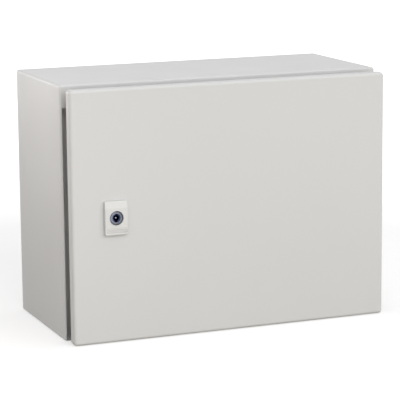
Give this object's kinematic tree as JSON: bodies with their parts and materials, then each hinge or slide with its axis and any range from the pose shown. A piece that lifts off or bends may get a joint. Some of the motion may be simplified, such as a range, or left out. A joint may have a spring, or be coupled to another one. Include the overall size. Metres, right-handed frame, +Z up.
{
  "type": "wall enclosure",
  "caption": "Steel wall enclosure with a hinged door, concealed hinges, a foam seal, a quarter-turn lock, a mounting plate and a cable gland plate.",
  "frame": {"origin": "centre of the back face, at the middle of the rectangle of wall holes", "axes": "+X to the right seen from the front, +Y out of the back into the wall, +Z up"},
  "size_m": [0.4, 0.2056, 0.3],
  "materials": {
    "body_paint": "satin light grey powder coat",
    "door_paint": "satin light grey powder coat",
    "zinc_steel": "zinc plated",
    "bright_steel": "ground",
    "brass": "plain",
    "seal_foam": "closed skin foam",
    "seal_rubber": "matte",
    "escutcheon_plastic": "fine texture",
    "zinc_die_cast": "chromated zinc",
    "lock_dark": "dark chromated zinc"
  },
  "bodies": {
    "enclosure": {"body_wrap": "body_paint", "back_panel": "body_paint", "sealing_frame": "body_paint", "lock_keeper": "zinc_steel", "mounting_plate": "zinc_steel", "mounting_studs": "zinc_steel", "mounting_rear_nuts": "zinc_steel", "mounting_washers": "zinc_steel", "mounting_front_nuts": "zinc_steel", "gland_plate": "body_paint", "gland_gasket": "seal_foam", "gland_studs": "zinc_steel", "gland_nuts": "zinc_steel", "body_earth_stud": "zinc_steel", "body_earth_washer": "zinc_steel", "body_earth_nut": "brass", "upper_frame_leaf": "zinc_steel", "lower_frame_leaf": "zinc_steel", "upper_hinge_pin": "bright_steel", "lower_hinge_pin": "bright_steel", "hinge_screws": "zinc_steel", "hinge_screw_nuts": "zinc_steel"},
    "door": {"door_panel": "door_paint", "door_seal": "seal_foam", "upper_door_leaf": "zinc_steel", "lower_door_leaf": "zinc_steel", "door_leaf_studs": "zinc_steel", "door_leaf_nuts": "zinc_steel", "lock_escutcheon": "escutcheon_plastic", "lock_seal": "seal_rubber", "lock_housing": "zinc_die_cast", "lock_nut": "zinc_die_cast", "door_earth_stud": "zinc_steel", "door_earth_washer": "zinc_steel", "door_earth_nut": "brass"},
    "lock_rotor": {"lock_insert": "lock_dark", "lock_cam": "zinc_steel", "cam_washer": "zinc_steel", "cam_screw": "zinc_steel"}
  },
  "joints": [
    {"name": "door_hinge", "type": "hinge", "parent": "enclosure", "child": "door", "pos_m": [0.1925, -0.183, 0], "axis": [0, 0, 1], "range_deg": [0, 120]},
    {"name": "lock_turn", "type": "hinge", "parent": "door", "child": "lock_rotor", "pos_m": [-0.146, -0.19, -0.00175], "axis": [0, 1, 0], "range_deg": [0, 90]}
  ]
}
